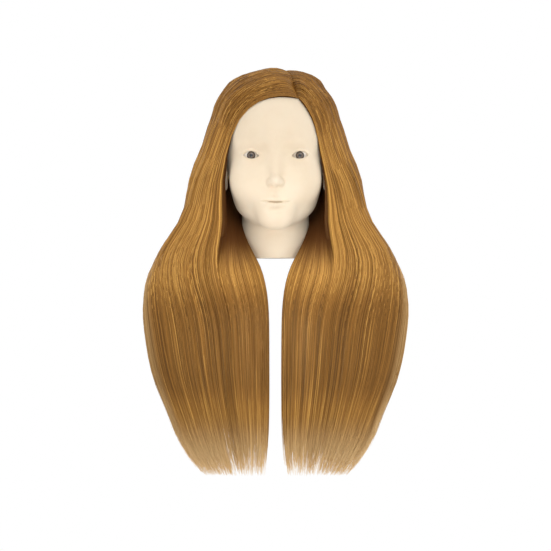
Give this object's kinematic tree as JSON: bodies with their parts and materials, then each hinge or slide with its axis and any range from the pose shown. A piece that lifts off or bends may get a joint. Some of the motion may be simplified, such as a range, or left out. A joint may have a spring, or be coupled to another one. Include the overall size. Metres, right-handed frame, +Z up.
{
  "type": "mannequin training head",
  "caption": "Vinyl head with foam filling, inset eyes, a clamp socket in the neck and long straight hair parted at one side and combed forward in two curtains, for practising hairdressing.",
  "frame": {"origin": "centre of the clamp socket's mouth, in the flat base of the neck", "axes": "+Z up along the neck and the clamp socket, +Y to the back of the head, +X to the mannequin's own left; the face looks along -Y"},
  "size_m": [0.3484, 0.2225, 0.546],
  "materials": {
    "skin": "soft matte vinyl",
    "scalp": "matte vinyl",
    "foam": "rigid foam",
    "plate": "moulded",
    "socket": "moulded",
    "screw": "zinc plated",
    "eye_white": "glossy",
    "iris": "printed",
    "lens": "clear acrylic",
    "hair": "silky straight fibre"
  },
  "bodies": {
    "head": {"face_and_neck_skin": "skin", "rooted_scalp": "scalp", "foam_core": "foam", "neck_plate": "plate", "clamp_socket": "socket", "socket_screw_1": "screw", "socket_screw_2": "screw", "socket_screw_3": "screw", "eye_globe_left": "eye_white", "eye_iris_left": "iris", "eye_lens_left": "lens", "eye_globe_right": "eye_white", "eye_iris_right": "iris", "eye_lens_right": "lens", "hair_front_left": "hair", "hair_side_left": "hair", "hair_crown_left": "hair", "hair_back_left": "hair", "hair_nape_left": "hair", "hair_drape_front_left": "hair", "hair_drape_rear_left": "hair", "hair_front_right": "hair", "hair_side_right": "hair", "hair_crown_right": "hair", "hair_back_right": "hair", "hair_nape_right": "hair", "hair_drape_front_right": "hair", "hair_drape_rear_right": "hair"},
    "hair_left": {"hair_length_inner_left": "hair", "hair_length_middle_left": "hair", "hair_length_outer_left": "hair"},
    "hair_right": {"hair_length_inner_right": "hair", "hair_length_middle_right": "hair", "hair_length_outer_right": "hair"}
  },
  "joints": [
    {"name": "hair_left_swing", "type": "hinge", "parent": "head", "child": "hair_left", "pos_m": [0.084, -0.0541, -0.036], "axis": [1, 0, 0], "range_deg": [-20, 15]},
    {"name": "hair_right_swing", "type": "hinge", "parent": "head", "child": "hair_right", "pos_m": [-0.084, -0.0541, -0.036], "axis": [1, 0, 0], "range_deg": [-20, 15]}
  ]
}
